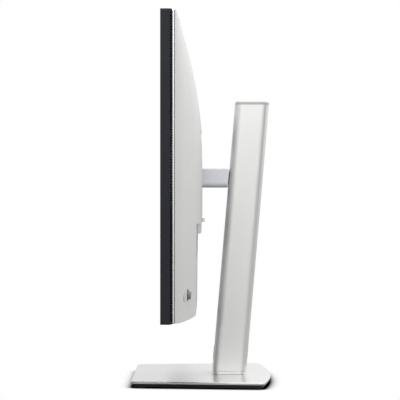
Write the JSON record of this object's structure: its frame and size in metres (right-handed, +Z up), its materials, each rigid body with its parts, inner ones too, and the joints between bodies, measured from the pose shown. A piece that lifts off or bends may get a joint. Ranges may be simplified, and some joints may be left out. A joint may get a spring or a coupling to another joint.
{
  "type": "computer monitor",
  "caption": "Flat desktop monitor with a domed silver back, on a leaning column stand that lifts, tilts, pivots and swivels over a flat plate base.",
  "frame": {"origin": "on the desk, under the middle of the base's length and width", "axes": "+X to the viewer's right, +Y backwards away from the screen's front, +Z up"},
  "size_m": [0.6114, 0.1756, 0.4473],
  "materials": {
    "base_metal": "fine satin anodised plate",
    "tray_plastic": "black moulded",
    "foot_rubber": "soft black pads",
    "steel": "plain steel",
    "nylon_dark": "dark nylon",
    "nylon_white": "natural nylon",
    "column_metal": "satin anodised extrusion",
    "cap_plastic": "silver moulded",
    "die_cast": "as cast",
    "neck_plastic": "blue-grey moulded",
    "frame_plastic": "dark charcoal, fine texture",
    "trim_metal": "bright satin strip",
    "screen_glass": "anti-glare screen",
    "film": "translucent sheet",
    "acrylic": "clear acrylic",
    "reflector": "white foil",
    "circuit": "green laminate",
    "cover_plastic": "silver satin moulded",
    "sheet_steel": "zinc-plated sheet",
    "socket_metal": "plated shell",
    "inlet_plastic": "black moulded",
    "button_plastic": "blue-grey moulded",
    "control_grey": "grey moulded",
    "power_plastic": "silver moulded",
    "ribbon": "flat flexible cable"
  },
  "bodies": {
    "base": {"base_plate": "base_metal", "base_tray": "tray_plastic", "base_weight": "steel", "rubber_feet": "foot_rubber", "swivel_spindle": "steel", "spindle_clip": "steel", "base_screw": "steel", "swivel_washer": "nylon_dark"},
    "column": {"column_shell": "column_metal", "column_cap": "cap_plastic", "foot_block": "die_cast", "foot_ring": "column_metal", "slide_rails": "steel", "rail_bridge": "sheet_steel", "rail_stops": "foot_rubber", "cable_grommet": "cap_plastic", "lift_spring_coil": "steel", "spring_spool": "nylon_white", "lift_spring_strip": "steel"},
    "carriage": {"lift_carriage": "nylon_dark", "carriage_bushes": "nylon_white", "neck_arm": "die_cast", "neck_cover_top": "neck_plastic", "neck_cover_bottom": "neck_plastic", "tilt_pin": "steel", "tilt_washers": "steel", "tilt_nut": "steel"},
    "tilt_head": {"tilt_bracket": "die_cast", "pivot_ring": "steel", "pivot_ring_screws": "steel"},
    "head": {"mount_plate": "neck_plastic", "screen_frame": "frame_plastic", "trim_ring": "trim_metal", "display_panel": "screen_glass", "chin_strip": "frame_plastic", "optical_films": "film", "light_guide": "acrylic", "reflector_sheet": "reflector", "led_strip": "circuit", "panel_tray": "sheet_steel", "back_cover": "cover_plastic", "vesa_bracket": "sheet_steel", "main_board": "circuit", "board_shield": "sheet_steel", "power_board": "circuit", "board_screws": "steel", "panel_cable": "ribbon", "video_sockets": "socket_metal", "data_sockets": "socket_metal", "network_socket": "socket_metal", "mains_inlet": "inlet_plastic", "joystick_dish": "control_grey", "button_board": "circuit", "release_spring": "steel"},
    "release": {"release_button": "button_plastic", "release_catch": "steel"},
    "power_switch": {"power_button": "power_plastic"},
    "joystick_ring": {"joystick_gimbal": "control_grey"},
    "joystick_lever": {"joystick_stick": "control_grey"},
    "joystick_tip": {"joystick_cap": "control_grey"}
  },
  "joints": [
    {"name": "swivel", "type": "hinge", "parent": "base", "child": "column", "pos_m": [0, 0.035, 0.0127], "axis": [0, 0, 1], "range_deg": [-45, 45]},
    {"name": "lift", "type": "slide", "parent": "column", "child": "carriage", "axis": [0, 0.0854, 0.9963], "range_m": [-0.072, 0.072], "deforming": ["lift_spring_strip"]},
    {"name": "tilt", "type": "hinge", "parent": "carriage", "child": "tilt_head", "pos_m": [0, 0.009, 0.26], "axis": [-1, 0, 0], "range_deg": [-5, 21]},
    {"name": "pivot", "type": "hinge", "parent": "tilt_head", "child": "head", "pos_m": [0, -0.0063, 0.26], "axis": [0, 1, 0], "range_deg": [0, 20]},
    {"name": "release_press", "type": "slide", "parent": "head", "child": "release", "axis": [0, -1, 0], "range_m": [0, 0.0025], "stiffness_N_per_m": 800, "deforming": ["release_spring"]},
    {"name": "power_press", "type": "slide", "parent": "head", "child": "power_switch", "axis": [-0.1805, -0.9836, 0], "range_m": [0, 0.0008], "stiffness_N_per_m": 1200},
    {"name": "joystick_side", "type": "hinge", "parent": "head", "child": "joystick_ring", "pos_m": [0.24394, -0.02156, 0.1215], "axis": [0, 0, 1], "range_deg": [-7, 7], "stiffness_Nm_per_rad": 0.02},
    {"name": "joystick_up", "type": "hinge", "parent": "joystick_ring", "child": "joystick_lever", "pos_m": [0.24394, -0.02156, 0.1215], "axis": [0.9898, -0.1426, 0], "range_deg": [-7, 7], "stiffness_Nm_per_rad": 0.02},
    {"name": "joystick_press", "type": "slide", "parent": "joystick_lever", "child": "joystick_tip", "axis": [-0.1426, -0.9898, 0], "range_m": [0, 0.0005], "stiffness_N_per_m": 800}
  ]
}
